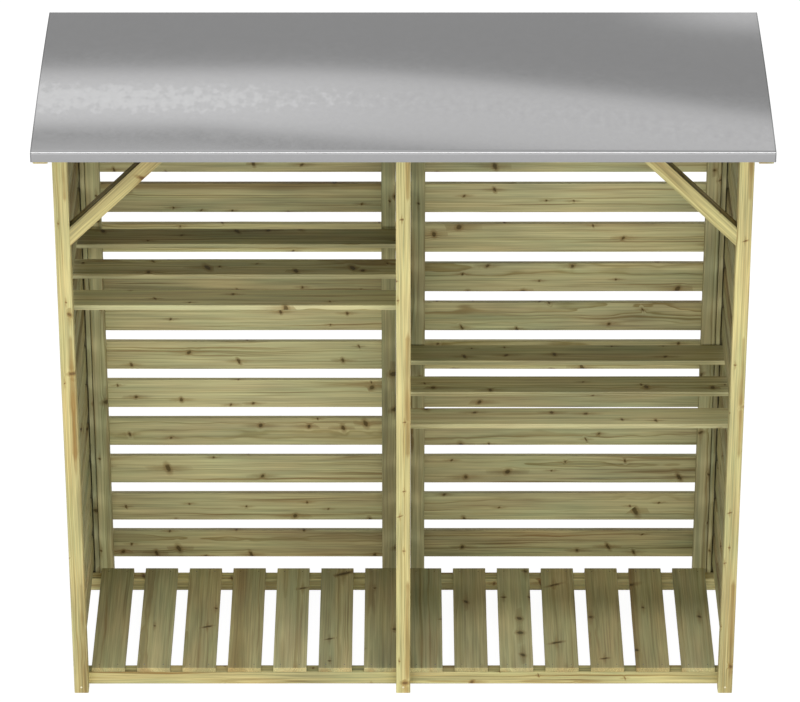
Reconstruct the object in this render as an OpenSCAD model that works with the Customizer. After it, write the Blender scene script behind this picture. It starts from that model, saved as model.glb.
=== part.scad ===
// Double-bay log store: a slatted softwood frame under one curved sheet-steel roof.
// Millimetres, +Z up, front towards -Y. The origin is on the ground under the middle of the roof.

/* [Frame] */
// Overall width over the outer faces of the posts
frame_w = 2092; // [1700:1:2600]
// Width of a post, upright or purlin seen from the front
post_w = 45; // [40:1:60]
// Depth of a post, upright or purlin from front to back
post_d = 45; // [40:1:60]
// From the front faces of the front posts to the front faces of the rear posts
frame_d = 637; // [600:1:850]
// Height of the front posts
front_post_h = 1940; // [1600:1:2300]
// Easing along the edges of the square timber
post_arris = 3; // [1:0.5:5]

/* [Walls] */
// Thickness of every board
board_t = 16; // [12:0.5:20]
// Height of one wall board
wall_board_h = 102; // [80:1:125]
// Open gap between two wall boards
wall_gap = 41; // [25:1:60]
// Height of the lowest wall board above the ground
wall_base = 82; // [75:1:120]
// Easing along the edges of the boards
board_arris = 2; // [0.5:0.5:4]
// From the outer faces of the posts in to the side boards
side_inset = 11; // [6:1:18]
// Width of the grooves in the posts that hold the boards of the sides and the divider
groove_w = 20.5; // [16:0.5:24]
// Depth of these grooves
groove_d = 14; // [8:1:20]
// Gap between a back upright and the rear post beside it
upright_gap = 1.5; // [0.5:0.5:6]
// Least gap from the top wall board up to the front purlin
head_gap = 20; // [10:1:60]

/* [Floor] */
// Clearance under the floor rails
floor_lift = 4.5; // [2:0.5:10]
// Height of a floor rail
floor_rail_h = 45; // [35:1:50]
// Depth of a floor rail
floor_rail_d = 41; // [35:1:60]
// Width of one floor board
floor_board_w = 106.5; // [80:0.5:115]
// Number of floor boards in each bay
floor_boards = 7; // [4:1:7]
// From the inner face of an outer post to the first floor board
floor_outer_gap = 8; // [2:1:25]
// From the middle of the store to the last floor board
floor_inner_gap = 19; // [5:1:40]
// Gap left where two pieces meet end to end
end_gap = 1; // [0.5:0.5:3]

/* [Shelves] */
// Depth of one shelf board
shelf_board_d = 100; // [80:1:120]
// Distance between the front edges of two shelf boards
shelf_pitch = 198.5; // [150:0.5:200]
// Wall board that carries the left shelf, counted from the ground
left_shelf_row = 9; // [3:1:10]
// Wall board that carries the right shelf, counted from the ground
right_shelf_row = 6; // [3:1:10]
// From the front faces of the front posts to the first board of the left shelf
left_shelf_setback = 120; // [60:1:130]
// From the front faces of the front posts to the first board of the right shelf
right_shelf_setback = 133; // [60:1:135]
// Length of each shelf board that rests on a wall board
shelf_bearing = 7.5; // [4:0.5:12]

/* [Braces] */
// Width and depth of a corner brace
brace_s = 45; // [35:1:60]
// From the purlin down the post to the heel of a brace
brace_leg = 326; // [200:1:500]

/* [Roof] */
// Roof in front of the front posts
roof_front = 90; // [60:1:140]
// Roof behind the back boards
roof_rear = 85; // [40:1:140]
// Radius of the roof's curve
roof_radius = 6920; // [5000:10:12000]
// From the front faces of the front posts to the line where the roof is level
roof_crown = 684; // [400:1:900]
// Thickness of the roof sheet
roof_t = 2; // [1:0.5:3]
// Height of the folded front edge
lip_h = 32; // [25:1:60]
// Outer radius of the front fold
fold_r = 5; // [4:0.5:10]
// Height of a purlin at the middle of its depth
purlin_h = 46; // [40:1:70]
// Width of the roof rails
roof_rail_w = 45; // [35:1:50]
// Gap between an end rail and the outer faces of the posts
roof_rail_gap = 4; // [1:1:30]
// From the ends of the sheet in to the end rails
roof_rail_inset = 6; // [0:1:20]
// Depth of the end rails below the folded front edge
roof_rail_drop = 7; // [0:1:15]

/* [Hidden] */
arc_steps = 48;
fold_steps = 8;
half_w = frame_w / 2;
wall_pitch = wall_board_h + wall_gap;
wall_depth = frame_d + post_d + board_t;
roof_d = roof_front + wall_depth + roof_rear;
// Places from front to back
front_y = roof_front - roof_d / 2;
rear_y = front_y + frame_d;
lip_y = front_y - roof_front;
tail_y = lip_y + roof_d;
crown_y = front_y + roof_crown;
// Heights
wall_boards = floor((front_post_h - head_gap - wall_base + wall_gap) / wall_pitch);
floor_board_z = floor_lift + floor_rail_h;
// Centre of the roof's curve and of the front fold
under_r = roof_radius - roof_t;
front_seat = front_y + post_d / 2 - crown_y;
arc_z = front_post_h + purlin_h - sqrt(under_r * under_r - front_seat * front_seat);
fold_run = lip_y + fold_r - crown_y;
fold_z = arc_z + sqrt(pow(roof_radius - fold_r, 2) - fold_run * fold_run);
fold_angle = atan2(fold_z - arc_z, fold_run);
tail_angle = acos((tail_y - crown_y) / roof_radius);
lip_z = fold_z + fold_r - lip_h;
rear_seat = rear_y + post_d / 2 - crown_y;
rear_post_h = arc_z + sqrt(under_r * under_r - rear_seat * rear_seat) - purlin_h;
// Places from the middle of the store outwards
side_in_x = half_w - side_inset - board_t;
rail_in_x = half_w + roof_rail_gap;
rail_out_x = rail_in_x + roof_rail_w;
roof_w = 2 * (rail_out_x + roof_rail_inset);
groove_in_x = half_w - side_inset - groove_w;
upright_out_x = half_w - post_w - upright_gap;
upright_in_x = post_w / 2 + upright_gap;
timber = "#d3c07f";
board_wood = "#a99a5e";
steel = "#b9bcbd";

// Rectangle with eased corners
module eased(w, h, e) {
  polygon([[e, 0], [w - e, 0], [w, e], [w, h - e], [w - e, h], [e, h], [0, h - e], [0, e]]);
}

// Timber with its lowest corner at p, its sizes in s and its grain along one axis
module stick(p, s, grain, e) {
  translate(p) {
    if (grain == "z") linear_extrude(s[2]) eased(s[0], s[1], e);
    if (grain == "x") rotate([90, 0, 90]) linear_extrude(s[0]) eased(s[1], s[2], e);
    if (grain == "y") translate([0, s[1], 0]) rotate([90, 0, 0]) linear_extrude(s[1]) eased(s[0], s[2], e);
  }
}

// Points on an arc in the plane across the store, from angle a to angle b
function arc_points(c, r, a, b, n) = [for (i = [0:n]) c + r * [cos(a + (b - a) * i / n), sin(a + (b - a) * i / n)]];

arc_c = [crown_y, arc_z];
fold_c = [lip_y + fold_r, fold_z];
under_line = concat(arc_points(arc_c, under_r, tail_angle, fold_angle, arc_steps),
  arc_points(fold_c, fold_r - roof_t, fold_angle, 180, fold_steps));
over_line = concat(arc_points(fold_c, fold_r, 180, fold_angle, fold_steps),
  arc_points(arc_c, roof_radius, fold_angle, tail_angle, arc_steps));

// Shape across the store, run from x0 over a length w
module across(x0, w) {
  translate([x0, 0, 0]) rotate([90, 0, 90]) linear_extrude(w) children();
}

// Space under the roof sheet
module roof_space(x0, w) {
  across(x0, w) polygon(concat(under_line, [[lip_y + roof_t, 0], [tail_y, 0]]));
}

// Post with a groove that starts at groove_x, in its rear face for side 1 and in its front face for side -1
module post(x, y, h, groove_x, side) {
  color(timber) difference() {
    stick([x - post_w / 2, y, 0], [post_w, post_d, h], "z", post_arris);
    translate([groove_x, side > 0 ? y + post_d - groove_d : y - 1, -1])
      cube([groove_w, groove_d + 1, h + 2]);
  }
}

module front_post(x, groove_x) post(x, front_y, front_post_h, groove_x, 1);
module rear_post(x, groove_x) post(x, rear_y, rear_post_h, groove_x, -1);

module upright(x) {
  color(timber)
    stick([x, rear_y, floor_lift], [post_w, post_d, rear_post_h - floor_lift], "z", post_arris);
}

// Boards of a wall that runs from front to back, with their ends in the grooves of the posts
module side_boards(x) {
  color(board_wood)
    for (i = [0:wall_boards - 1])
      stick([x, front_y + post_d - groove_d, wall_base + i * wall_pitch],
        [board_t, frame_d - post_d + 2 * groove_d, wall_board_h], "y", board_arris);
}

module back_boards(x) {
  color(board_wood)
    for (i = [0:wall_boards - 1])
      stick([x, rear_y + post_d, wall_base + i * wall_pitch],
        [upright_out_x - upright_in_x, board_t, wall_board_h], "x", board_arris);
}

module floor_rail(x, y) {
  color(timber)
    stick([x, y, floor_lift], [half_w - side_inset - end_gap, floor_rail_d, floor_rail_h], "x", post_arris);
}

// Floor boards of one bay, from the outer post in to the middle
module floor_bay(side) {
  first = half_w - post_w - floor_outer_gap;
  step = (first - floor_inner_gap - floor_board_w) / (floor_boards - 1);
  color(board_wood)
    for (i = [0:floor_boards - 1])
      stick([side * (first - floor_board_w / 2 - i * step) - floor_board_w / 2, front_y + post_d, floor_board_z],
        [floor_board_w, frame_d - post_d, board_t], "y", board_arris);
}

// Shelf board that rests in the gaps over a board of the side wall and of the divider
module shelf_board(side, row, setback, i) {
  x_mid = board_t / 2 - shelf_bearing;
  run = side_in_x + shelf_bearing - x_mid;
  color(board_wood)
    stick([side > 0 ? x_mid : -x_mid - run, front_y + setback + i * shelf_pitch,
        wall_base + (row - 1) * wall_pitch + wall_board_h],
      [run, shelf_board_d, board_t], "x", board_arris);
}

// Corner brace with both ends cut at 45 degrees, drawn for the left corner
module brace() {
  reach = brace_leg * sqrt(2);
  color(timber)
    translate([post_w - half_w, front_y, front_post_h]) intersection() {
      translate([0, 0, -brace_leg]) rotate([0, -45, 0])
        stick([-brace_s, 0, 0], [reach + 2 * brace_s, brace_s, brace_s], "x", post_arris);
      translate([0, 0, -brace_leg]) cube([brace_leg, brace_s, brace_leg]);
    }
}

// Left-to-right roof timber with its top planed to the roof's curve
module purlin(y, base) {
  color(timber) intersection() {
    stick([-rail_in_x, y, base], [2 * rail_in_x, post_d, 2 * purlin_h], "x", post_arris);
    roof_space(-rail_in_x, 2 * rail_in_x);
  }
}

// Front-to-back roof timber with its top cut to the roof's curve
module roof_rail(x, y0, y1, base) {
  color(timber) intersection() {
    translate([x, y0, base]) cube([roof_rail_w, y1 - y0, arc_z + roof_radius - base]);
    roof_space(x, roof_rail_w);
  }
}

module left_front_post() front_post(post_w / 2 - half_w, -groove_in_x - groove_w);
module centre_front_post() front_post(0, -groove_w / 2);
module right_front_post() front_post(half_w - post_w / 2, groove_in_x);
module left_rear_post() rear_post(post_w / 2 - half_w, -groove_in_x - groove_w);
module centre_rear_post() rear_post(0, -groove_w / 2);
module right_rear_post() rear_post(half_w - post_w / 2, groove_in_x);
module left_side_boards() side_boards(-side_in_x - board_t);
module divider_boards() side_boards(-board_t / 2);
module right_side_boards() side_boards(side_in_x);
module left_outer_upright() upright(-upright_out_x);
module left_inner_upright() upright(-upright_in_x - post_w);
module right_inner_upright() upright(upright_in_x);
module right_outer_upright() upright(upright_out_x - post_w);
module left_back_boards() back_boards(-upright_out_x);
module right_back_boards() back_boards(upright_in_x);
module left_floor_front_rail() floor_rail(side_inset - half_w, front_y + post_d);
module left_floor_rear_rail() floor_rail(side_inset - half_w, rear_y - floor_rail_d);
module right_floor_front_rail() floor_rail(end_gap, front_y + post_d);
module right_floor_rear_rail() floor_rail(end_gap, rear_y - floor_rail_d);
module left_floor_boards() floor_bay(-1);
module right_floor_boards() floor_bay(1);
module left_shelf_front_board() shelf_board(-1, left_shelf_row, left_shelf_setback, 0);
module left_shelf_middle_board() shelf_board(-1, left_shelf_row, left_shelf_setback, 1);
module left_shelf_rear_board() shelf_board(-1, left_shelf_row, left_shelf_setback, 2);
module right_shelf_front_board() shelf_board(1, right_shelf_row, right_shelf_setback, 0);
module right_shelf_middle_board() shelf_board(1, right_shelf_row, right_shelf_setback, 1);
module right_shelf_rear_board() shelf_board(1, right_shelf_row, right_shelf_setback, 2);
module left_brace() brace();
module right_brace() mirror([1, 0, 0]) brace();
module front_purlin() purlin(front_y, front_post_h);
module rear_purlin() purlin(rear_y, rear_post_h);
module left_roof_rail() roof_rail(-rail_out_x, lip_y + roof_t, tail_y, lip_z - roof_rail_drop);
module right_roof_rail() roof_rail(rail_in_x, lip_y + roof_t, tail_y, lip_z - roof_rail_drop);
module centre_roof_rail() roof_rail(-roof_rail_w / 2, front_y + post_d, rear_y, front_post_h);

// Curved sheet with its front edge folded down
module roof_sheet() {
  color(steel) across(-roof_w / 2, roof_w)
    polygon(concat([[lip_y + roof_t, lip_z], [lip_y, lip_z]], over_line, under_line));
}

left_front_post();
centre_front_post();
right_front_post();
left_rear_post();
centre_rear_post();
right_rear_post();
left_side_boards();
divider_boards();
right_side_boards();
left_outer_upright();
left_inner_upright();
right_inner_upright();
right_outer_upright();
left_back_boards();
right_back_boards();
left_floor_front_rail();
left_floor_rear_rail();
right_floor_front_rail();
right_floor_rear_rail();
left_floor_boards();
right_floor_boards();
left_shelf_front_board();
left_shelf_middle_board();
left_shelf_rear_board();
right_shelf_front_board();
right_shelf_middle_board();
right_shelf_rear_board();
left_brace();
right_brace();
front_purlin();
rear_purlin();
left_roof_rail();
centre_roof_rail();
right_roof_rail();
roof_sheet();
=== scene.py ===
import math
import random

import bmesh
import bpy
from mathutils import Matrix, Vector, noise


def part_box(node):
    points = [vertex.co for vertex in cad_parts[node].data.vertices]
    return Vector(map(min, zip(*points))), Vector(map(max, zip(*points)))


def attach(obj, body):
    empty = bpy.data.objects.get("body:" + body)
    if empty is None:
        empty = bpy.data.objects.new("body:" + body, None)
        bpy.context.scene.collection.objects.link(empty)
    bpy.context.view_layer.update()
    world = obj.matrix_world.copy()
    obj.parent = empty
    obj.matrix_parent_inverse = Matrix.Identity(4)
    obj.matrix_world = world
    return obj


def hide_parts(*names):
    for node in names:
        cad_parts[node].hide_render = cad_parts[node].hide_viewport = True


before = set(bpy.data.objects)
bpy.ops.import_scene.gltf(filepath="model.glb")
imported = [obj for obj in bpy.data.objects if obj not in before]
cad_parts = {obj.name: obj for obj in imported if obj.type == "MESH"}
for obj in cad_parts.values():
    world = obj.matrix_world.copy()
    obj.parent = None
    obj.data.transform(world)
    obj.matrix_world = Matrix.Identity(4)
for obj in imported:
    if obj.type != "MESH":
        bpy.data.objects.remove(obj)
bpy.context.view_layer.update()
scene = bpy.context.scene
print("frame loaded,", len(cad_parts), "nodes")


# small helpers for node trees
def addNode(tree, kind, inputs=None, **settings):
    node = tree.nodes.new(kind)
    for name, value in settings.items():
        setattr(node, name, value)
    for socket, value in (inputs or {}).items():
        feed(tree, node.inputs[socket], value)
    return node


def feed(tree, socket, value):
    if isinstance(value, bpy.types.NodeSocket):
        tree.links.new(value, socket)
    else:
        socket.default_value = value


def calc(tree, operation, a, b=0.0):
    return addNode(tree, "ShaderNodeMath", {0: a, 1: b}, operation=operation).outputs[0]


def times(tree, a, b):
    return calc(tree, "MULTIPLY", a, b)


def addUp(tree, start, *terms):
    # start plus each value times its amount
    for value, amount in terms:
        start = addNode(tree, "ShaderNodeMath", {0: value, 1: amount, 2: start}, operation="MULTIPLY_ADD").outputs[0]
    return start


def lengthOf(tree, a, b):
    return calc(tree, "SQRT", calc(tree, "ADD", times(tree, a, a), times(tree, b, b)))


def blendColor(tree, factor, a, b, blend="MIX"):
    return addNode(tree, "ShaderNodeMix", {0: factor, 6: a, 7: b}, data_type="RGBA", blend_type=blend).outputs[2]


def softStep(tree, value, edge):
    # 0 at the first number of edge, 1 at the second
    start, end = edge
    node = addNode(tree, "ShaderNodeMapRange", {0: value, 1: start, 2: end}, interpolation_type="SMOOTHSTEP")
    return node.outputs[0]


def stretch(tree, vector, scale):
    return addNode(tree, "ShaderNodeVectorMath", {0: vector, 1: scale}, operation="MULTIPLY").outputs[0]


def splitXyz(tree, vector):
    return addNode(tree, "ShaderNodeSeparateXYZ", {0: vector}).outputs[:]


def joinXyz(tree, x=0.0, y=0.0, z=0.0):
    return addNode(tree, "ShaderNodeCombineXYZ", {0: x, 1: y, 2: z}).outputs[0]


def noiseAt(tree, vector, scale=1.0, detail=2.0):
    # about -0.3 to 0.3 round zero
    texture = addNode(tree, "ShaderNodeTexNoise", {"Vector": vector, "Scale": scale, "Detail": detail}).outputs[0]
    return calc(tree, "SUBTRACT", texture, 0.5)


def newMaterial(name):
    material = bpy.data.materials.new(name)
    material.use_nodes = True
    material.node_tree.nodes.clear()
    return material, material.node_tree


def newGroup(name, inputs, outputs):
    tree = bpy.data.node_groups.new(name, "ShaderNodeTree")
    for socketName, (kind, value) in inputs.items():
        socket = tree.interface.new_socket(socketName, in_out="INPUT", socket_type="NodeSocket" + kind)
        socket.default_value = value
    for socketName, kind in outputs.items():
        tree.interface.new_socket(socketName, in_out="OUTPUT", socket_type="NodeSocket" + kind)
    return tree, tree.nodes.new("NodeGroupInput").outputs


# grain of sawn pine: x runs along the log and the pith is at y = z = 0
pineValues = {
    "knotCell": 0.125,      # one place for a knot in each such square, metres
    "knotLeast": 0.0031,    # half thickness of the smallest knot
    "knotSpread": 0.0062,   # further half thickness of the largest
    "knotPower": 2.2,       # higher for fewer large knots
    "knotLean": 0.9,        # slant of a knot across the grain
    "spikeEdge": (0.3, 1.0),    # which knots are drawn out into spikes
    "wobbleScale": 110.0,   # ragged outlines of the knots
    "wobbleAlong": 0.005,
    "wobbleAcross": 0.006,
    "knotEdge": (1.1, 0.55),    # soft edges, in half thicknesses of the knot
    "ringEdge": (2.1, 0.9),
    "haloEdge": (3.6, 0.8),
    "smearEdge": (1.9, 0.2),
    "tail": 6.0,            # reach of the stain along the grain beside a knot
    "swirl": 0.0028,        # push of a knot on the rings round it
    "wave": 0.030,          # slow wander of the rings along a board
    "waveScale": (0.9, 5.0, 5.0),
    "ripple": 0.0110,       # quick wander of the rings
    "rippleScale": (5.5, 24.0, 24.0),
    "unevenScale": 48.0,    # narrow and wide years
    "uneven": 4.0,
    "earlyEdge": (0.3, 0.9),    # how a ring darkens towards its end
    "lateEdge": (0.72, 0.93),
    "lateShare": 0.6,
    "ringEnd": (1.0, 0.95),
    "yearScale": (60.0, 0.7),   # pale and bold years: out from the pith, along the board
    "yearEdge": (-0.22, 0.20),
    "boldEdge": (0.15, 0.23),
    "lineScale": (105.0, 1.1),  # single dark lines
    "lineEdge": (0.09, 0.20),
    "heartEdge": (-0.0018, 0.0026),
    "heartSoft": 4.0,       # the more the rings wander, the softer the edge of the heartwood
    "fibreScale": (5.0, 230.0, 230.0),
    "streakScale": (1.7, 75.0, 75.0),
    "fineDetail": 3.0,
    "stainScale": (2.4, 9.0, 9.0),  # the treatment leaves slow stains
    "stainLight": 0.60,
    "stainWarm": 0.09,
    "tintScale": (3.2, 21.0, 21.0),     # and patches that are more tan or more green
    "tint": (0.18, -0.15, -0.18),
    "coldBlue": -1.5,       # what warmth takes from the blue
    "heartShare": 0.72,     # how far each mark covers the wood
    "boldShare": 0.55,
    "smearShare": 0.6,
    "ringShare": 0.7,
    "knotShare": 0.9,
    "roughness": 0.64,
    "fibreRough": 0.25,
    "knotRough": -0.14,
    "fibreHeight": 0.8,
    "lateHeight": 0.3,
    "knotHeight": 0.4,
    "bump": 0.35,
    "bumpDepth": 0.0006,
    "specular": 0.25,
}
pineInputs = {
    "Grain": ("Vector", (0, 0, 0)),
    "Tone": ("Vector", (1, 0, 0)),
    "Sapwood": ("Color", (0.6, 0.5, 0.3, 1)),
    "Latewood": ("Color", (0.4, 0.3, 0.1, 1)),
    "Heartwood": ("Color", (0.4, 0.25, 0.1, 1)),
    "Knot": ("Color", (0.1, 0.06, 0.02, 1)),
    "Ring Width": ("Float", 0.005),
    "Heart Radius": ("Float", 0.045),
    "Knot Share": ("Float", 0.4),
    "Knot Length": ("Float", 2.0),
    "Streaks": ("Float", 1.0),
    "Lines": ("Float", 0.6),
    "Knot Size": ("Float", 1.0),
    "Wander": ("Float", 1.0),
    "Fibres": ("Float", 0.85),
}


def buildPineGrain():
    tree, given = newGroup("pineGrain", pineInputs, {"Color": "Color", "Roughness": "Float", "Height": "Float"})
    pine = pineValues
    grain = given["Grain"]
    along, across, deep = splitXyz(tree, grain)
    light, warm, heartMore = splitXyz(tree, given["Tone"])

    # knots: thick dashes that lean across the grain, with a stain running out along it
    wobble = noiseAt(tree, grain, pine["wobbleScale"], 1.0)
    face = addUp(tree, across, (deep, 1.0), (wobble, pine["wobbleAcross"]))
    spot = joinXyz(tree, addUp(tree, along, (wobble, pine["wobbleAlong"])), face)
    cells = addNode(tree, "ShaderNodeTexVoronoi", {"Vector": spot, "Scale": 1 / pine["knotCell"]},
                    voronoi_dimensions="2D")
    pickA, pickB, pickC = addNode(tree, "ShaderNodeSeparateColor", {0: cells.outputs["Color"]}).outputs
    away = addNode(tree, "ShaderNodeVectorMath", {0: spot, 1: cells.outputs["Position"]}, operation="SUBTRACT")
    offAlong, offAcross = splitXyz(tree, away.outputs[0])[:2]
    isKnot = calc(tree, "LESS_THAN", pickA, given["Knot Share"])
    size = addUp(tree, pine["knotLeast"], (calc(tree, "POWER", pickB, pine["knotPower"]), pine["knotSpread"]))
    size = times(tree, size, given["Knot Size"])
    spike = addUp(tree, 1.0, (softStep(tree, pickC, pine["spikeEdge"]), given["Knot Length"]))
    lean = addUp(tree, offAlong, (times(tree, addUp(tree, -0.5, (pickC, 1.0)), offAcross), pine["knotLean"]))
    near = calc(tree, "DIVIDE", lengthOf(tree, lean, calc(tree, "DIVIDE", offAcross, spike)), size)
    knot = times(tree, softStep(tree, near, pine["knotEdge"]), isKnot)
    ring = times(tree, softStep(tree, near, pine["ringEdge"]), isKnot)
    halo = times(tree, softStep(tree, near, pine["haloEdge"]), isKnot)
    drawn = calc(tree, "DIVIDE", lengthOf(tree, calc(tree, "DIVIDE", lean, pine["tail"]), offAcross), size)
    smear = times(tree, softStep(tree, drawn, pine["smearEdge"]), isKnot)

    # rings: distance from the pith, wandering along the board and pushed aside by knots
    wave = times(tree, noiseAt(tree, stretch(tree, grain, pine["waveScale"])), given["Wander"])
    ripple = noiseAt(tree, stretch(tree, grain, pine["rippleScale"]))
    fromPith = addUp(tree, lengthOf(tree, across, deep), (wave, pine["wave"]), (ripple, pine["ripple"]),
                     (halo, pine["swirl"]))
    uneven = noiseAt(tree, joinXyz(tree, times(tree, fromPith, pine["unevenScale"])))
    turns = addUp(tree, calc(tree, "DIVIDE", fromPith, given["Ring Width"]), (uneven, pine["uneven"]))
    turns = calc(tree, "FRACT", turns)
    late = addUp(tree, times(tree, softStep(tree, turns, pine["lateEdge"]), pine["lateShare"]),
                 (softStep(tree, turns, pine["earlyEdge"]), 1 - pine["lateShare"]))
    late = times(tree, late, softStep(tree, turns, pine["ringEnd"]))
    outward, lengthwise = pine["yearScale"]
    years = noiseAt(tree, joinXyz(tree, times(tree, fromPith, outward), times(tree, along, lengthwise)))
    late = times(tree, late, softStep(tree, years, pine["yearEdge"]))
    bold = softStep(tree, years, pine["boldEdge"])
    outward, lengthwise = pine["lineScale"]
    lines = noiseAt(tree, joinXyz(tree, times(tree, fromPith, outward), times(tree, along, lengthwise)))
    lines = softStep(tree, lines, pine["lineEdge"])
    inHeart = addUp(tree, given["Heart Radius"], (heartMore, 1.0), (fromPith, -1.0))
    inHeart = calc(tree, "DIVIDE", inHeart, times(tree, given["Wander"], pine["heartSoft"]))
    heart = softStep(tree, inHeart, pine["heartEdge"])

    # fibres, streaks, stains and tints follow the board
    fibre = noiseAt(tree, stretch(tree, grain, pine["fibreScale"]), 1.0, pine["fineDetail"])
    streak = noiseAt(tree, stretch(tree, grain, pine["streakScale"]), 1.0, pine["fineDetail"])
    stain = noiseAt(tree, stretch(tree, grain, pine["stainScale"]))
    tint = noiseAt(tree, stretch(tree, grain, pine["tintScale"]))

    color = blendColor(tree, late, given["Sapwood"], given["Latewood"])
    for mark, share in ((heart, pine["heartShare"]), (bold, pine["boldShare"]), (lines, given["Lines"]),
                        (smear, pine["smearShare"]), (ring, pine["ringShare"])):
        color = blendColor(tree, times(tree, mark, share), color, given["Heartwood"])
    color = blendColor(tree, times(tree, knot, pine["knotShare"]), color, given["Knot"])
    light = addUp(tree, light, (times(tree, fibre, given["Fibres"]), 1.0),
                  (times(tree, streak, given["Streaks"]), 1.0), (stain, pine["stainLight"]))
    warm = addUp(tree, warm, (stain, pine["stainWarm"]))
    redTint, greenTint, blueTint = pine["tint"]
    shade = joinXyz(tree, addUp(tree, light, (warm, 1.0), (tint, redTint)), addUp(tree, light, (tint, greenTint)),
                    addUp(tree, light, (warm, pine["coldBlue"]), (tint, blueTint)))
    color = blendColor(tree, 1.0, color, shade, "MULTIPLY")

    rough = addUp(tree, pine["roughness"], (fibre, pine["fibreRough"]), (knot, pine["knotRough"]))
    height = addUp(tree, 0.0, (fibre, pine["fibreHeight"]), (late, pine["lateHeight"]), (knot, pine["knotHeight"]))
    addNode(tree, "NodeGroupOutput", {"Color": color, "Roughness": rough, "Height": height})
    return tree


pineGrain = buildPineGrain()

pineFinishes = {
    "postPine": {"Sapwood": (0.66, 0.585, 0.272, 1), "Latewood": (0.45, 0.33, 0.11, 1),
                 "Heartwood": (0.35, 0.215, 0.066, 1), "Knot": (0.18, 0.108, 0.04, 1), "Ring Width": 0.0115,
                 "Heart Radius": 0.0097, "Knot Share": 0.95, "Knot Length": 2.0, "Streaks": 0.95, "Lines": 0.95,
                 "Knot Size": 0.72, "Wander": 0.25, "Fibres": 1.35},
    "boardPine": {"Sapwood": (0.53, 0.495, 0.265, 1), "Latewood": (0.315, 0.26, 0.105, 1),
                  "Heartwood": (0.28, 0.20, 0.08, 1), "Knot": (0.088, 0.061, 0.019, 1), "Ring Width": 0.0125,
                  "Heart Radius": 0.040, "Knot Share": 0.86, "Knot Length": 0.9, "Streaks": 0.8, "Lines": 0.8,
                  "Knot Size": 1.08},
    "floorPine": {"Sapwood": (0.50, 0.465, 0.25, 1), "Latewood": (0.37, 0.315, 0.145, 1),
                  "Heartwood": (0.29, 0.205, 0.085, 1), "Knot": (0.078, 0.057, 0.022, 1), "Ring Width": 0.0145,
                  "Heart Radius": 0.030, "Knot Share": 0.42, "Knot Length": 2.6, "Streaks": 0.42, "Lines": 0.5,
                  "Knot Size": 1.25},
    # sawn ends
    "endPine": {"Sapwood": (0.67, 0.58, 0.27, 1), "Latewood": (0.45, 0.335, 0.12, 1),
                "Heartwood": (0.50, 0.35, 0.14, 1), "Knot": (0.14, 0.08, 0.03, 1), "Ring Width": 0.0050,
                "Heart Radius": 0.030, "Knot Share": 0.0, "Knot Length": 0.0, "Streaks": 0.3, "Lines": 0.2},
    # painted shade: rough wood inside the grooves, drawn very dark for the deep shade in them
    "grooveShadePine": {"Sapwood": (0.15, 0.135, 0.07, 1), "Latewood": (0.09, 0.075, 0.035, 1),
                   "Heartwood": (0.08, 0.06, 0.028, 1), "Knot": (0.04, 0.026, 0.012, 1), "Ring Width": 0.0115,
                   "Heart Radius": 0.0, "Knot Share": 0.0, "Knot Length": 0.0, "Streaks": 0.8, "Lines": 0.4},
}


def buildPine(name, finish):
    material, tree = newMaterial(name)
    grain = addNode(tree, "ShaderNodeAttribute", attribute_name="grainPlace").outputs["Vector"]
    tone = addNode(tree, "ShaderNodeAttribute", attribute_name="boardTone").outputs["Vector"]
    wood = addNode(tree, "ShaderNodeGroup", {"Grain": grain, "Tone": tone, **finish}, node_tree=pineGrain).outputs
    bump = addNode(tree, "ShaderNodeBump", {"Height": wood["Height"], "Strength": pineValues["bump"],
                                            "Distance": pineValues["bumpDepth"]})
    shader = addNode(tree, "ShaderNodeBsdfPrincipled", {"Base Color": wood["Color"], "Roughness": wood["Roughness"],
                                                        "Normal": bump.outputs[0],
                                                        "Specular IOR Level": pineValues["specular"]})
    addNode(tree, "ShaderNodeOutputMaterial", {"Surface": shader.outputs[0]})
    return material


pines = {name: buildPine(name, finish) for name, finish in pineFinishes.items()}
print("pine materials built")

# sawn timber: one bevelled board after another, each with its own place in a log
timber = {
    "postArris": 0.0030,
    "boardArris": 0.0015,
    "arrisSteps": 2,
    "stepLength": 0.085,    # between the rings of points along a board
    "sway": 0.0005,         # how far a board is out of straight
    "swayScale": 2.1,
    "edgeWear": 0.00035,    # unevenness of the arrises
    "wearAlong": 8,
    "wearAcross": 60,
    "wearSeed": 7,
    "logReach": 60.0,       # boards come from anywhere along this length of log
    "facesUp": 0.69,        # least upward part of the normal of a face that takes the painted top shade
    "isEnd": 0.6,           # least part along the board of the normal of a sawn end
    "hair": 1e-5,           # slack in comparisons
}
# without a seed the wear would start from the clock
noise.seed_set(timber["wearSeed"])

axisTurns = {
    "x": Matrix.Identity(4),
    "y": Matrix.Rotation(math.radians(90), 4, "Z"),
    "z": Matrix.Rotation(math.radians(-90), 4, "Y"),
}


def pointsIn(parts):
    return [part for part in parts if isinstance(part, bmesh.types.BMVert)]


def startTimber():
    bm = bmesh.new()
    bm.verts.layers.float_vector.new("grainPlace")
    bm.verts.layers.float_vector.new("boardTone")
    return bm


def unmarked(bm):
    # points of the board in hand: earlier boards already have their tone
    tone = bm.verts.layers.float_vector["boardTone"]
    return [v for v in bm.verts if v[tone].x == 0]


def freshEdges(bm, shortest=0.0):
    # edges of the board in hand, or only those along it
    tone = bm.verts.layers.float_vector["boardTone"]
    return [e for e in bm.edges if e.verts[0][tone].x == 0 and abs(e.verts[0].co.x - e.verts[1].co.x) >= shortest]


def bevelEdges(bm, edges, arris):
    bmesh.ops.bevel(bm, geom=edges, offset=arris, affect="EDGES", segments=timber["arrisSteps"], profile=0.5,
                    material=-1)


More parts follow.
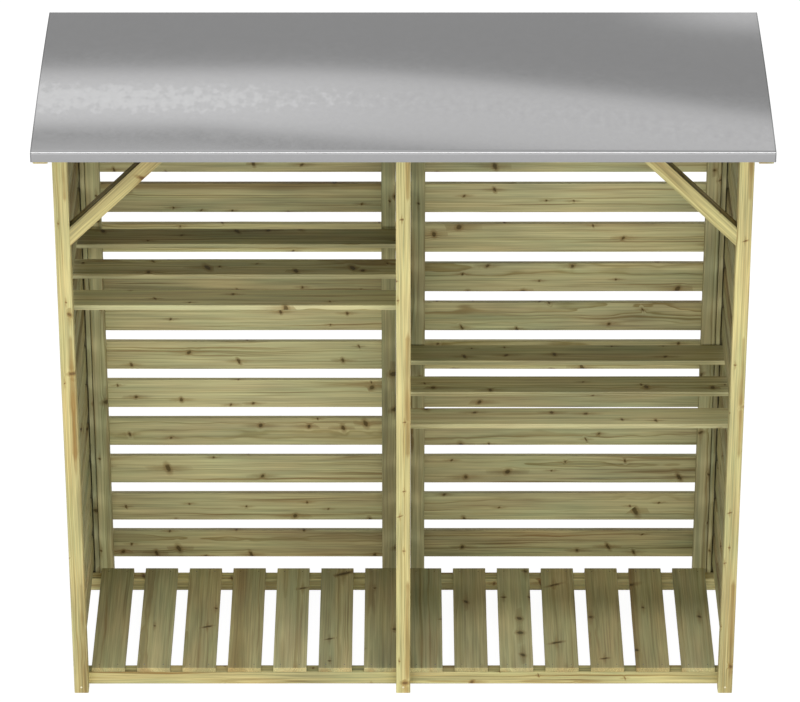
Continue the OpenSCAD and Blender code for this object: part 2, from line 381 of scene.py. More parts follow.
def addGroovedBlank(bm, size, groove, arris):
    # section with a groove in one side, drawn out to the length
    length, thick = size[0], size[2]
    mouth, floor, low, high = groove
    points = [(-mouth, -thick / 2), (mouth, -thick / 2), (mouth, low), (floor, low), (floor, high), (mouth, high),
              (mouth, thick / 2), (-mouth, thick / 2)]
    section = bm.faces.new([bm.verts.new((-length / 2, y, z)) for y, z in points])
    drawn = bmesh.ops.extrude_face_region(bm, geom=[section])
    bmesh.ops.translate(bm, verts=pointsIn(drawn["geom"]), vec=(length, 0, 0))
    bmesh.ops.recalc_face_normals(bm, faces=bm.faces[:])
    outside = thick / 2 - timber["hair"]
    # the inner faces of the groove take the third finish, the painted groove shade
    for f in bm.faces:
        isSide = abs(f.calc_center_median().x) < length / 4
        isInner = max(abs(v.co.z) for v in f.verts) < outside
        if isSide and isInner and min(v.co.y * mouth for v in f.verts) <= floor * mouth + timber["hair"]:
            f.material_index = 2
    bevelEdges(bm, [e for e in freshEdges(bm, length / 2) if abs(e.verts[0].co.z) > outside], arris)


def addBoard(bm, size, turn, centre, arris, draw, groove=None):
    # size is length, width and thickness; turn and centre put the finished board in the store
    if groove:
        addGroovedBlank(bm, size, groove, arris)
    else:
        bmesh.ops.create_cube(bm, size=1.0, matrix=Matrix.Diagonal((*size, 1.0)))
        bevelEdges(bm, freshEdges(bm), arris)
    length = size[0]
    bmesh.ops.subdivide_edges(bm, edges=freshEdges(bm, length / 2), cuts=max(2, round(length / timber["stepLength"])),
                              use_grid_fill=True)
    fresh = unmarked(bm)
    seed = draw.uniform(0, 100)
    for v in fresh:
        far = v.co.x * timber["swayScale"]
        sway = Vector((0, noise.noise((far, seed, 0)), noise.noise((far, seed, 9)))) * timber["sway"]
        spot = Vector((v.co.x * timber["wearAlong"] + seed, v.co.y * timber["wearAcross"],
                       v.co.z * timber["wearAcross"]))
        wear = noise.noise_vector(spot) * timber["edgeWear"]
        wear.x = 0
        v.co += sway + wear
    place = Matrix.Translation(centre) @ turn
    bmesh.ops.transform(bm, matrix=place, verts=fresh)
    return fresh, place


def markGrain(bm, verts, place, style, draw, look=None):
    # grainPlace is the board's own place in its log, boardTone its lightness with painted top shade, warmth and
    # heartwood
    grainLayer = bm.verts.layers.float_vector["grainPlace"]
    toneLayer = bm.verts.layers.float_vector["boardTone"]
    back = place.inverted()
    reach = draw.uniform(*style["pith"])
    angle = math.radians(draw.gauss(*style["pithAngle"]))
    shift = Vector((draw.uniform(-1, 1) * timber["logReach"], -math.cos(angle) * reach, -math.sin(angle) * reach))
    tone = (style["light"] * draw.gauss(1.0, style["spread"]), style["warm"] + draw.gauss(0.0, style["spread"] / 4),
            draw.uniform(*style["heart"]))
    light, warm, heart = look or tone
    bm.normal_update()
    for v in verts:
        v[grainLayer] = back @ v.co + shift
        # painted shade: faces that look up are drawn darker, or lighter above one, for how light falls on them
        dirt = style["dirt"] if any(f.normal.z > timber["facesUp"] for f in v.link_faces) else 1.0
        amber = 0.0 if any(low < v.co.z < high for low, high in style["amber"]) else style["amberFade"]
        v[toneLayer] = (light * dirt, warm, heart - amber)
        for f in v.link_faces:
            if abs((back.to_3x3() @ f.normal).x) > timber["isEnd"]:
                f.material_index = 1


def finishTimber(bm, node, style):
    words = node.split("_")
    name = words[0] + "".join(word.capitalize() for word in words[1:])
    mesh = bpy.data.meshes.new(name)
    bm.to_mesh(mesh)
    bm.free()
    for finish in (style["material"], "endPine", "grooveShadePine"):
        mesh.materials.append(pines[finish])
    piece = bpy.data.objects.new(name, mesh)
    scene.collection.objects.link(piece)
    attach(piece, "root")
    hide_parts(node)


def localSize(low, high, axis):
    span = high - low
    return {"x": (span.x, span.y, span.z), "y": (span.y, span.x, span.z), "z": (span.z, span.y, span.x)}[axis]


def layBoards(node, boxes, axis, style, groove=None, shape=None, looks=()):
    # looks gives lightness, warmth and heartwood for boards that aren't left to chance
    draw = random.Random(node)
    bm = startTimber()
    for i, (low, high) in enumerate(boxes):
        verts, place = addBoard(bm, localSize(low, high, axis), axisTurns[axis], (low + high) / 2, style["arris"],
                                draw, groove)
        if shape:
            shape(bm, verts, low, high)
        markGrain(bm, verts, place, style, draw, looks[i] if i < len(looks) else None)
    finishTimber(bm, node, style)


# square timber: angles are degrees round the length, 0 to the back and 90 to the left
# painted top shade darkens faces that look up, or lightens them above one; amber lists the heights where heartwood
# reaches the corner of a post
postStyle = {"material": "postPine", "slot": "post_timber", "arris": timber["postArris"], "pith": (0.0185, 0.0195),
             "pithAngle": (-139, 2), "light": 1.02, "spread": 0.012, "warm": 0.0, "heart": (-0.0004, 0.0008),
             "dirt": 1.0, "amber": [(-0.01, 0.45), (0.83, 1.36), (1.76, 2.0)], "amberFade": 0.012}
plainStyle = dict(postStyle, pith=(0.02, 0.05), pithAngle=(0, 120), heart=(-0.02, 0.0), amberFade=0.0)
oliveStyle = dict(plainStyle, material="boardPine", heart=(-0.05, -0.03))
frontPostLights = {"left": 1.02, "centre": 1.17, "right": 1.07}
rearPostStyle = dict(oliveStyle, light=0.84)
uprightLights = {"left_outer": 0.94, "left_inner": 0.80, "right_outer": 0.88, "right_inner": 0.74}
# painted shade darkens the rails' top faces between the floor boards; painted light: the rear rails are drawn lighter
# than their wood, for the deep shade they sit in
railStyles = {
    "front": dict(postStyle, light=0.97, dirt=0.70, heart=(-0.02, -0.012), amberFade=0.0),
    "rear": dict(plainStyle, light=1.3, dirt=0.70, heart=(-0.05, -0.04)),
}
postGroove = {"inset": 0.011, "width": 0.0205, "depth": 0.014}


def grooveOf(node):
    # mouth, floor and both sides of the groove in a post, in the post's own section
    low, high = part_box(node)
    middle = (low.x + high.x) / 2
    side = 1 if "front" in node else -1
    if node.startswith("left"):
        start = low.x + postGroove["inset"] - middle
    elif node.startswith("right"):
        start = high.x - postGroove["inset"] - postGroove["width"] - middle
    else:
        start = -postGroove["width"] / 2
    mouth = side * (high.y - low.y) / 2
    return mouth, mouth - side * postGroove["depth"], -start - postGroove["width"], -start


for place, light in frontPostLights.items():
    for row, style in (("front", dict(postStyle, light=light)), ("rear", rearPostStyle)):
        node = place + "_" + row + "_post"
        layBoards(node, [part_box(node)], "z", style, grooveOf(node))
for place, light in uprightLights.items():
    node = place + "_upright"
    layBoards(node, [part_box(node)], "z", dict(oliveStyle, light=light))
for side in ("left", "right"):
    for row, style in railStyles.items():
        node = side + "_floor_" + row + "_rail"
        layBoards(node, [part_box(node)], "x", style)
print("posts and rails laid")

# wall, floor and shelf boards
boardStyle = {"material": "boardPine", "slot": "board_timber", "arris": timber["boardArris"], "pith": (0.035, 0.11),
              "pithAngle": (90, 50), "light": 1.12, "spread": 0.04, "warm": 0.0, "heart": (-0.02, 0.015),
              "dirt": 1.0, "amber": [], "amberFade": 0.0}
sideStyle = dict(boardStyle, light=0.93)
floorStyle = dict(boardStyle, material="floorPine", pith=(0.03, 0.08), pithAngle=(0, 30))
# painted light and shade on the shelf boards: the rear boards are drawn darkest, and their tops darker towards the
# back, one front top lighter
shelves = {
    "left_shelf_front_board": {"look": (1.34, -0.005, -0.04), "dirt": 1.12},
    "left_shelf_middle_board": {"look": (1.25, 0.0, -0.03), "dirt": 0.88},
    "left_shelf_rear_board": {"look": (1.10, 0.0, -0.03), "dirt": 0.68},
    "right_shelf_front_board": {"look": (1.17, 0.005, -0.04), "dirt": 1.0},
    "right_shelf_middle_board": {"look": (1.22, 0.0, -0.03), "dirt": 0.89},
    "right_shelf_rear_board": {"look": (1.10, 0.0, -0.03), "dirt": 0.79},
}
# back boards from the ground up: lightness, warmth and heartwood; the lightness is partly each board's own tone and
# partly painted shade, the lowest boards drawn darker for the shade near the floor
backLooks = {
    "left_back_boards": [(0.80, 0.025, -0.02), (0.97, 0.01, 0.0), (1.09, 0.0, -0.02), (1.08, 0.01, 0.0),
                         (1.28, -0.01, -0.04), (1.21, 0.0, -0.01), (1.12, 0.0, -0.02), (0.70, 0.02, 0.012),
                         (1.42, 0.0, -0.01), (0.88, -0.005, -0.01), (0.92, 0.0, -0.02)],
    "right_back_boards": [(0.66, 0.03, 0.0), (0.95, 0.01, 0.0), (0.95, 0.01, -0.02), (1.05, 0.0, -0.03),
                          (0.94, 0.005, -0.02), (1.36, 0.01, 0.0), (0.94, 0.0, -0.02), (0.96, 0.01, -0.03),
                          (1.08, 0.01, -0.03), (1.09, 0.0, -0.03), (1.05, 0.0, -0.01)],
}
# floor boards from left to right
floorLooks = {
    "left": [(0.81, 0.0, -0.024), (0.915, -0.01, 0.005), (0.91, 0.02, -0.028), (0.90, 0.02, 0.006),
             (1.08, -0.025, -0.017), (0.935, -0.02, -0.01), (0.92, -0.02, -0.02)],
    "right": [(0.955, -0.03, -0.012), (0.865, 0.0, -0.0085), (1.02, -0.02, 0.0), (0.905, 0.02, -0.025),
              (0.82, 0.025, 0.001), (0.88, 0.035, 0.009), (1.03, -0.025, -0.008)],
}
boardSizes = {
    "wallHeight": 0.102,
    "wallPitch": 0.143,
    "floorWidth": 0.1065,
    "floorCount": 7,
    "walls": {"left_side_boards": "y", "divider_boards": "y", "right_side_boards": "y",
              "left_back_boards": "x", "right_back_boards": "x"},
}


def boardBoxes(node, direction, size, step):
    # splits a node's box into boards of one size, a step apart
    low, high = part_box(node)
    count = round(((high - low).dot(direction) - size) / step) + 1
    rest = (high - low) - direction * (high - low).dot(direction)
    return [(low + direction * step * i, low + direction * (step * i + size) + rest) for i in range(count)]


def wallBoxes(node):
    return boardBoxes(node, Vector((0, 0, 1)), boardSizes["wallHeight"], boardSizes["wallPitch"])


def floorBoxes(node):
    low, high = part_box(node)
    step = (high.x - low.x - boardSizes["floorWidth"]) / (boardSizes["floorCount"] - 1)
    return boardBoxes(node, Vector((1, 0, 0)), boardSizes["floorWidth"], step)


for node, axis in boardSizes["walls"].items():
    layBoards(node, wallBoxes(node), axis, boardStyle if axis == "x" else sideStyle, looks=backLooks.get(node, ()))
for side, looks in floorLooks.items():
    node = side + "_floor_boards"
    layBoards(node, floorBoxes(node), "y", floorStyle, looks=looks)
for node, shelf in shelves.items():
    layBoards(node, [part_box(node)], "x", dict(boardStyle, dirt=shelf["dirt"]), looks=[shelf["look"]])
print("walls, floors and shelves laid")

# corner braces, cut at 45 degrees where they meet post and purlin
brace = {"width": 0.045, "spare": 0.06, "sides": {"left_brace": 1, "right_brace": -1}}
# painted shade: the braces' upper faces are drawn much darker, for the shade under the roof
braceStyle = dict(plainStyle, light=0.88, warm=0.02, dirt=0.38, heart=(-0.05, -0.04))


def buildBrace(node, side):
    low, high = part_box(node)
    draw = random.Random(node)
    bm = startTimber()
    length = (high.z - low.z) * math.sqrt(2) + brace["spare"]
    turn = Matrix.Rotation(math.radians(-45 * side), 4, "Y")
    heel = Vector((low.x if side > 0 else high.x, (low.y + high.y) / 2, low.z))
    head = Vector((high.x if side > 0 else low.x, heel.y, high.z))
    # the lower face runs from heel to head, so the middle sits half a width above it
    offset = Vector((-side, 0, 1)).normalized() * brace["width"] / 2
    verts, place = addBoard(bm, (length, high.y - low.y, brace["width"]), turn, (heel + head) / 2 + offset,
                            braceStyle["arris"], draw)
    for point, normal in ((heel, (-side, 0, 0)), (head, (0, 0, 1))):
        cut = bmesh.ops.bisect_plane(bm, geom=bm.verts[:] + bm.edges[:] + bm.faces[:], plane_co=point,
                                     plane_no=normal, clear_outer=True)
        rim = [part for part in cut["geom_cut"] if isinstance(part, bmesh.types.BMEdge)]
        bmesh.ops.holes_fill(bm, edges=rim)
    markGrain(bm, bm.verts[:], place, braceStyle, draw)
    finishTimber(bm, node, braceStyle)


for node, side in brace["sides"].items():
    buildBrace(node, side)
print("braces cut")

# roof sheet on a large radius, with its front edge folded down
roof = {
    "radius": 6.92,
    "crownY": 0.3375,       # where the sheet is level
    "thickness": 0.002,
    "foldRadius": 0.005,
    "arcSteps": 60,
    "foldSteps": 8,
    "widthSteps": 40,
    "merge": 1e-6,          # points nearer than this become one
    "trimFrom": 0.6,       # share of a timber's height above which it is cut to the sheet
    "timbers": {"front_purlin": "x", "rear_purlin": "x", "left_roof_rail": "y", "centre_roof_rail": "y",
                "right_roof_rail": "y"},
}
roofLow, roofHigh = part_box("roof_sheet")
roofCentreZ = roofHigh.z - roof["radius"]
foldHeight = roofCentreZ + math.sqrt(roof["radius"] ** 2 - (roofLow.y - roof["crownY"]) ** 2) - roof["foldRadius"]


def underRoof(y):
    return roofCentreZ + math.sqrt((roof["radius"] - roof["thickness"]) ** 2 - (y - roof["crownY"]) ** 2)


def trimToRoof(bm, verts, low, high):
    # lowers the upper points of a timber onto the underside of the sheet
    for v in verts:
        if v.co.z > (low.z + high.z) / 2 or v.co.z > low.z + roof["trimFrom"] * (underRoof(v.co.y) - low.z):
            v.co.z += underRoof(v.co.y) - high.z


for node, axis in roof["timbers"].items():
    layBoards(node, [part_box(node)], axis, plainStyle, shape=trimToRoof)
print("purlins and roof rails trimmed")

# zinc coat: crystals and clouds
zinc = {"crystal": 0.0105, "cloudScale": 24.0, "cloudDetail": 3.0, "roughCrystal": 0.02, "roughCloud": 0.03}
zincInputs = {
    "Place": ("Vector", (0, 0, 0)),
    "Crystals": ("Float", 0.1),
    "Clouds": ("Float", 0.1),
    "Base Roughness": ("Float", 0.3),
}
steels = {
    "roofSteel": {"color": (0.355, 0.355, 0.357), "crystals": 0.02, "clouds": 0.03, "roughness": 0.10, "sheet": True},
    "screwZinc": {"color": (0.90, 0.86, 0.66), "crystals": 0.10, "clouds": 0.10, "roughness": 0.35, "sheet": False},
}
# painted highlight: one patch of the sheet is drawn brighter and mottled by its crystals, as where the sheet catches
# the light, and a faint mottled trail of them drifts forwards to the right
spangleSheen = {
    "clump": 44.0, "squash": 0.6,
    "patch": (-1.0, -0.13), "reach": (1.15, 0.115), "contrast": 0.10,
    "patchEdge": (1.1, 0.1), "patchLift": 0.40, "clumpEdge": (0.12, 0.38), "fade": (0.0, 0.3),
    "trailBend": 0.4, "trailDrift": 0.115, "trailWidth": 0.13, "trailContrast": 0.16,
}
# painted shade darkens the cut edges at the sides of the sheet, and a painted highlight makes the fold brighter than
# the rest
cutEdgeShade = {"width": 0.004, "shade": 0.45}
foldHighlight = {"width": 0.004, "gain": 0.22}
sharpAngle = 35     # degrees between faces that meet in a crisp edge


def buildZincCoat():
    tree, given = newGroup("zincCoat", zincInputs, {"Shade": "Float", "Roughness": "Float"})
    cells = addNode(tree, "ShaderNodeTexVoronoi", {"Vector": given["Place"], "Scale": 1 / zinc["crystal"]})
    pickA, pickB = addNode(tree, "ShaderNodeSeparateColor", {0: cells.outputs["Color"]}).outputs[:2]
    cloud = noiseAt(tree, given["Place"], zinc["cloudScale"], zinc["cloudDetail"])
    shade = addUp(tree, 1.0, (pickA, given["Crystals"]), (cloud, given["Clouds"]))
    rough = addUp(tree, given["Base Roughness"], (pickB, zinc["roughCrystal"]), (cloud, zinc["roughCloud"]))
    addNode(tree, "NodeGroupOutput", {"Shade": shade, "Roughness": rough})
    return tree


def markSheet(tree, place, shade):
    # what only the roof sheet shows, on top of the coat: a painted highlight in a patch and a trail, a painted
    # highlight on the fold and painted shade on the cut edges
    east, north, up = splitXyz(tree, place)
    clump = noiseAt(tree, stretch(tree, place, (1.0, spangleSheen["squash"], 1.0)), spangleSheen["clump"], 1.0)
    patchEast, patchNorth = spangleSheen["patch"]
    reachEast, reachNorth = spangleSheen["reach"]
    off = lengthOf(tree, calc(tree, "DIVIDE", addUp(tree, -patchEast, (east, 1.0)), reachEast),
                   calc(tree, "DIVIDE", addUp(tree, -patchNorth, (north, 1.0)), reachNorth))
    inside = softStep(tree, off, spangleSheen["patchEdge"])
    patch = softStep(tree, addUp(tree, clump, (inside, spangleSheen["patchLift"])), spangleSheen["clumpEdge"])
    patch = times(tree, patch, softStep(tree, inside, spangleSheen["fade"]))
    past = calc(tree, "MAXIMUM", addUp(tree, spangleSheen["trailBend"], (east, 1.0)), 0.0)
    aside = addUp(tree, -patchNorth, (north, 1.0), (times(tree, past, past), spangleSheen["trailDrift"]))
    onTrail = softStep(tree, calc(tree, "ABSOLUTE", aside), (spangleSheen["trailWidth"], 0.0))
    # painted highlight: the patch and the trail add brightness to the sheet's colour
    shade = addUp(tree, shade, (patch, spangleSheen["contrast"]), (times(tree, clump, onTrail), spangleSheen["trailContrast"]))
    # painted highlight: the fold is drawn brighter than the rest of the sheet
    foldFront, foldWidth = roofLow.y, foldHighlight["width"]
    onFold = times(tree, softStep(tree, north, (foldFront + foldWidth, foldFront + foldWidth / 2)),
                   softStep(tree, up, (foldHeight - foldWidth / 2, foldHeight)))
    shade = times(tree, shade, addUp(tree, 1.0, (onFold, foldHighlight["gain"])))
    # painted shade: the cut edges at the sides of the sheet are drawn darker
    cutFrom, cutTo = roofHigh.x - cutEdgeShade["width"], roofHigh.x - cutEdgeShade["width"] / 2
    onCut = softStep(tree, calc(tree, "ABSOLUTE", east), (cutFrom, cutTo))
    return times(tree, shade, addUp(tree, 1.0, (onCut, -cutEdgeShade["shade"])))


def buildSteel(name, values):
    material, tree = newMaterial(name)
    place = addNode(tree, "ShaderNodeTexCoord").outputs["Object"]
    coat = addNode(tree, "ShaderNodeGroup", {"Place": place, "Crystals": values["crystals"],
                                             "Clouds": values["clouds"], "Base Roughness": values["roughness"]},
                   node_tree=zincCoat).outputs
    shade = markSheet(tree, place, coat["Shade"]) if values["sheet"] else coat["Shade"]
    color = stretch(tree, joinXyz(tree, shade, shade, shade), values["color"])
    shader = addNode(tree, "ShaderNodeBsdfPrincipled", {"Base Color": color, "Roughness": coat["Roughness"],
                                                        "Metallic": 1.0})
    addNode(tree, "ShaderNodeOutputMaterial", {"Surface": shader.outputs[0]})
    return material


zincCoat = buildZincCoat()
metals = {name: buildSteel(name, values) for name, values in steels.items()}


def finishSteel(bm, name, steel, nodes=()):
    mesh = bpy.data.meshes.new(name)
    bm.to_mesh(mesh)
    bm.free()
    mesh.shade_smooth()
    mesh.set_sharp_from_angle(angle=math.radians(sharpAngle))
    mesh.materials.append(metals[steel])
    piece = bpy.data.objects.new(name, mesh)
    scene.collection.objects.link(piece)
    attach(piece, "root")
    if nodes:
        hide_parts(*nodes)


def buildRoofSheet():
    bm = bmesh.new()
    radius, fold = roof["radius"], roof["foldRadius"]
    arcCentre = Vector((roofLow.x, roof["crownY"], roofCentreZ))
    run = roofLow.y + fold - roof["crownY"]
    foldCentre = Vector((roofLow.x, roofLow.y + fold, roofCentreZ + math.sqrt((radius - fold) ** 2 - run ** 2)))
    tailRun = roofHigh.y - roof["crownY"]
    tailAngle = math.acos(tailRun / radius)
    foldAngle = math.atan2(foldCentre.z - arcCentre.z, run)
    # the profile: along the big arc, round the fold, down the front edge
    end = [bm.verts.new((roofLow.x, roofHigh.y, roofCentreZ + math.sqrt(radius ** 2 - tailRun ** 2)))]
    for centre, angle, steps in ((arcCentre, foldAngle - tailAngle, roof["arcSteps"]),
                                 (foldCentre, math.pi - foldAngle, roof["foldSteps"])):
        made = bmesh.ops.spin(bm, geom=end, cent=centre, axis=(1, 0, 0), angle=angle, steps=steps)
        end = pointsIn(made["geom_last"])
    made = bmesh.ops.extrude_vert_indiv(bm, verts=end)
    made["verts"][0].co.z = roofLow.z
    bmesh.ops.remove_doubles(bm, verts=bm.verts[:], dist=roof["merge"])
    # run the profile across the store
    width = roofHigh.x - roofLow.x
    across = bmesh.ops.extrude_edge_only(bm, edges=bm.edges[:])
    bmesh.ops.translate(bm, verts=pointsIn(across["geom"]), vec=(width, 0, 0))
    runs = [e for e in bm.edges if abs(e.verts[0].co.x - e.verts[1].co.x) > width / 2]
    bmesh.ops.subdivide_edges(bm, edges=runs, cuts=roof["widthSteps"], use_grid_fill=True)
    bmesh.ops.recalc_face_normals(bm, faces=bm.faces[:])
    if sum(f.normal.z for f in bm.faces) < 0:
        bmesh.ops.reverse_faces(bm, faces=bm.faces[:])
    bmesh.ops.solidify(bm, geom=bm.faces[:], thickness=roof["thickness"])
    finishSteel(bm, "roofSheet", "roofSteel", ["roof_sheet"])


buildRoofSheet()
print("roof sheet folded")

# fixings: a screw at the foot of each front post, nails through the back boards and the floor
fixings = {
    "screwRadius": 0.0034,
    "screwHeight": 0.0215,
    "screwProud": 0.0008,
    "screwTaper": 0.9,
    "recess": 0.3,          # rim round the star, as a share of the radius
    "recessWall": 0.06,
    "lobes": 6,
    "lobePull": 0.68,       # how far the star is drawn in between its points
    "nailRadius": 0.0021,
    "nailProud": 0.0004,
    "nailTaper": 0.75,
    "nailSides": 10,
    "nailSpread": 0.030,    # each nail of a pair from the middle of its board
}


def addScrew(bm, place):
    # countersunk head with a star recess, facing forwards
    radius = fixings["screwRadius"]
    made = bmesh.ops.create_cone(bm, cap_ends=True, segments=4 * fixings["lobes"], radius1=radius,
                                 radius2=radius * fixings["screwTaper"], depth=fixings["screwProud"] * 2)
    top = max((f for v in made["verts"] for f in v.link_faces), key=lambda f: f.calc_center_median().z)
    bmesh.ops.inset_individual(bm, faces=[top], thickness=radius * fixings["recess"])
    middle = top.calc_center_median()
    for i, loop in enumerate(top.loops):
        if i % 4 in (0, 1):
            loop.vert.co = middle + (loop.vert.co - middle) * fixings["lobePull"]
    bmesh.ops.inset_individual(bm, faces=[top], thickness=radius * fixings["recessWall"],
                               depth=-fixings["screwProud"])
    head = [v for v in bm.verts if not v.tag]
    turn = Matrix.Translation(place) @ Matrix.Rotation(math.radians(90), 4, "X")
    bmesh.ops.transform(bm, matrix=turn, verts=head)
    for v in head:
        v.tag = True


def addNailPair(bm, middle, along, turn):
    radius = fixings["nailRadius"]
    for shift in (-fixings["nailSpread"], fixings["nailSpread"]):
        place = Matrix.Translation(middle + along * shift)
        bmesh.ops.create_cone(bm, cap_ends=True, segments=fixings["nailSides"], radius1=radius,
                              radius2=radius * fixings["nailTaper"], depth=fixings["nailProud"] * 2,
                              matrix=place @ turn)


screws = bmesh.new()
for place in ("left", "centre", "right"):
    low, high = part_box(place + "_front_post")
    addScrew(screws, Vector(((low.x + high.x) / 2, low.y, fixings["screwHeight"])))
finishSteel(screws, "footScrews", "screwZinc")

nails = bmesh.new()
upwards = Matrix.Identity(4)
backwards = Matrix.Rotation(math.radians(-90), 4, "X")
for side in ("left", "right"):
    for upright in ("outer", "inner"):
        low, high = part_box(side + "_" + upright + "_upright")
        for boardLow, boardHigh in wallBoxes(side + "_back_boards"):
            middle = Vector(((low.x + high.x) / 2, boardHigh.y, (boardLow.z + boardHigh.z) / 2))
            addNailPair(nails, middle, Vector((0, 0, 1)), backwards)
    for boardLow, boardHigh in floorBoxes(side + "_floor_boards"):
        for row in railStyles:
            low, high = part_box(side + "_floor_" + row + "_rail")
            middle = Vector(((boardLow.x + boardHigh.x) / 2, (low.y + high.y) / 2, boardHigh.z))
            addNailPair(nails, middle, Vector((1, 0, 0)), upwards)
finishSteel(nails, "boardNails", "roofSteel")
print("screws and nails set")

# floor, light and camera
studio = {
    "floorSize": 60.0,
    "floorDrop": 0.0004,
    "floorGlow": 0.96,
    "floorShade": 0.16,     # what is left of the floor for shadows to show on
    "floorBounce": 0.5,
    "worldLight": 0.36,
    "lamps": {
        "frontLight": {"place": (0, -7.0, 1.5), "target": (0, 0, 1.1), "size": (10.0, 2.2), "power": 265.0,
                       "mirrored": False},
        "highLight": {"place": (0, -2.2, 8.0), "target": (0, 0, 1.0), "size": (7.0, 1.2), "power": 190.0,
                      "mirrored": True},
        "backLight": {"place": (0, 7.0, 1.5), "target": (0, 0, 1.1), "size": (10.0, 2.2), "power": 140.0,
                      "mirrored": False},
    },
}
white = (1, 1, 1, 1)


def grayOf(level):
    return (level, level, level, 1)


def aim(obj, target):
    obj.rotation_euler = (Vector(target) - obj.location).to_track_quat("-Z", "Y").to_euler()


def addSheetObject(name, width, depth):
    bm = bmesh.new()
    bmesh.ops.create_grid(bm, x_segments=1, y_segments=1, size=0.5, matrix=Matrix.Diagonal((width, depth, 1, 1)))
    mesh = bpy.data.meshes.new(name)
    bm.to_mesh(mesh)
    bm.free()
    sheet = bpy.data.objects.new(name, mesh)
    scene.collection.objects.link(sheet)
    return sheet


def seenDirectly(tree):
    path = addNode(tree, "ShaderNodeLightPath")
    seen = calc(tree, "MAXIMUM", path.outputs["Is Camera Ray"], path.outputs["Is Glossy Ray"])
    return calc(tree, "MAXIMUM", seen, path.outputs["Is Transmission Ray"])


def mixShaders(tree, factor, first, second):
    return addNode(tree, "ShaderNodeMixShader", {0: factor, 1: first.outputs[0], 2: second.outputs[0]})


def buildFloor():
    floor = addSheetObject("floor", studio["floorSize"], studio["floorSize"])
    material, tree = newMaterial("paleFloor")
    glow = addNode(tree, "ShaderNodeEmission", {"Color": white, "Strength": studio["floorGlow"]})
    matt = addNode(tree, "ShaderNodeBsdfDiffuse", {"Color": grayOf(studio["floorShade"])})
    bright = addNode(tree, "ShaderNodeAddShader", {0: glow.outputs[0], 1: matt.outputs[0]})
    plain = addNode(tree, "ShaderNodeBsdfDiffuse", {"Color": grayOf(studio["floorBounce"])})
    both = mixShaders(tree, seenDirectly(tree), plain, bright)
    # clear from below, so that the underside can be looked at
    below = addNode(tree, "ShaderNodeNewGeometry").outputs["Backfacing"]
    sided = mixShaders(tree, below, both, addNode(tree, "ShaderNodeBsdfTransparent"))
    addNode(tree, "ShaderNodeOutputMaterial", {"Surface": sided.outputs[0]})
    floor.data.materials.append(material)
    floor.location.z = -studio["floorDrop"]


# card behind the store that only the steel mirrors: gray sky, a light band and a shaded corner
skyCard = {
    "place": (0, 5.9, 5.8), "target": (0, 0, 2.0), "size": (9.0, 6.0),
    "rear": 0.615, "band": 1.26, "bandLeft": 0.24, "frontLeft": 0.65, "front": 0.45, "corner": 0.60,
    "bandEdge": (-0.33, -0.15), "bendFrom": 0.5, "bendPower": 1.5, "bend": -0.245,
    "leftEdge": (0.3, -1.2), "leftUp": (-0.2, 0.15),
    "slantFrom": 0.94, "slant": -0.31, "frontLeftEdge": (0.62, 0.82), "frontEdge": (0.92, 1.10),
    "spotRight": -1.05, "spotSquash": 0.6, "spotUp": 1.30, "spotEdge": (0.55, 0.1),
}


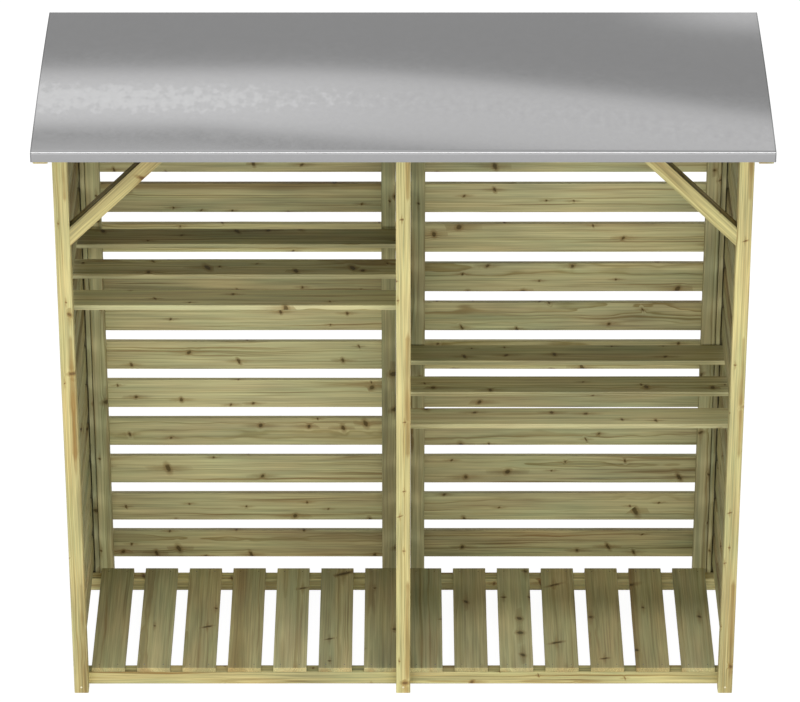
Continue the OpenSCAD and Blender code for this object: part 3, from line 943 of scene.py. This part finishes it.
def buildSkyCard():
    sky = skyCard
    card = addSheetObject("skyCard", *sky["size"])
    card.location = sky["place"]
    aim(card, sky["target"])
    card.visible_camera = card.visible_diffuse = card.visible_shadow = card.visible_transmission = False
    material, tree = newMaterial("skyCard")
    left, up = splitXyz(tree, addNode(tree, "ShaderNodeTexCoord").outputs["Object"])[:2]
    right = times(tree, left, -1.0)
    # lower edge of the band curves up to the right, the shaded corner is cut off at a slant
    bend = calc(tree, "MAXIMUM", addUp(tree, sky["bendFrom"], (right, 1.0)), 0.0)
    bend = calc(tree, "POWER", bend, sky["bendPower"])
    band = softStep(tree, addUp(tree, up, (bend, sky["bend"])), sky["bandEdge"])
    slant = calc(tree, "MAXIMUM", addUp(tree, sky["slantFrom"], (right, 1.0)), 0.0)
    slant = addUp(tree, up, (slant, sky["slant"]))
    leftMore = times(tree, softStep(tree, right, sky["leftEdge"]), softStep(tree, up, sky["leftUp"]))
    rearSpot = lengthOf(tree, addUp(tree, sky["spotRight"], (right, sky["spotSquash"])),
                        addUp(tree, sky["spotUp"], (up, 1.0)))
    strength = addUp(tree, sky["rear"], (band, sky["band"] - sky["rear"]), (leftMore, sky["bandLeft"]),
                     (softStep(tree, rearSpot, sky["spotEdge"]), sky["corner"]))
    shaded = softStep(tree, slant, sky["frontLeftEdge"])
    strength = addNode(tree, "ShaderNodeMix", {0: shaded, 2: strength, 3: sky["frontLeft"]}).outputs[0]
    strength = addUp(tree, strength, (softStep(tree, slant, sky["frontEdge"]), sky["front"]))
    glow = addNode(tree, "ShaderNodeEmission", {"Color": white, "Strength": strength})
    addNode(tree, "ShaderNodeOutputMaterial", {"Surface": glow.outputs[0]})
    card.data.materials.append(material)


def buildWorld():
    world = bpy.data.worlds.new("studio")
    world.use_nodes = True
    tree = world.node_tree
    tree.nodes.clear()
    soft = addNode(tree, "ShaderNodeBackground", {"Color": white, "Strength": studio["worldLight"]})
    plain = addNode(tree, "ShaderNodeBackground", {"Color": white, "Strength": 1.0})
    both = mixShaders(tree, seenDirectly(tree), soft, plain)
    addNode(tree, "ShaderNodeOutputWorld", {"Surface": both.outputs[0]})
    scene.world = world


def addLamp(name, values):
    lamp = bpy.data.lights.new(name, "AREA")
    lamp.shape = "RECTANGLE"
    lamp.size, lamp.size_y = values["size"]
    lamp.energy = values["power"]
    obj = bpy.data.objects.new(name, lamp)
    scene.collection.objects.link(obj)
    obj.location = values["place"]
    aim(obj, values["target"])
    obj.visible_glossy = values["mirrored"]


photo = {
    "place": (0.0, -12.3039, 8.0654),
    "pitch": 29.6946,       # degrees below level
    "focal": 4519.11,       # in pixels of the photograph
    "size": (800, 702),
    "middle": (403.236, 352.68),
    "sensor": 36.0,
    "farthest": 200.0,
}


def addCamera():
    width, height = photo["size"]
    data = bpy.data.cameras.new("photoCamera")
    data.sensor_fit = "HORIZONTAL"
    data.sensor_width = photo["sensor"]
    data.lens = photo["focal"] * data.sensor_width / width
    data.shift_x = (width / 2 - photo["middle"][0]) / width
    data.shift_y = (photo["middle"][1] - height / 2) / width
    data.clip_end = photo["farthest"]
    camera = bpy.data.objects.new("photoCamera", data)
    scene.collection.objects.link(camera)
    camera.location = photo["place"]
    camera.rotation_euler = (math.radians(90 - photo["pitch"]), 0, 0)
    scene.camera = camera


buildFloor()
buildSkyCard()
buildWorld()
for name, values in studio["lamps"].items():
    addLamp(name, values)
addCamera()
scene.view_settings.view_transform = "Standard"
print("studio set")
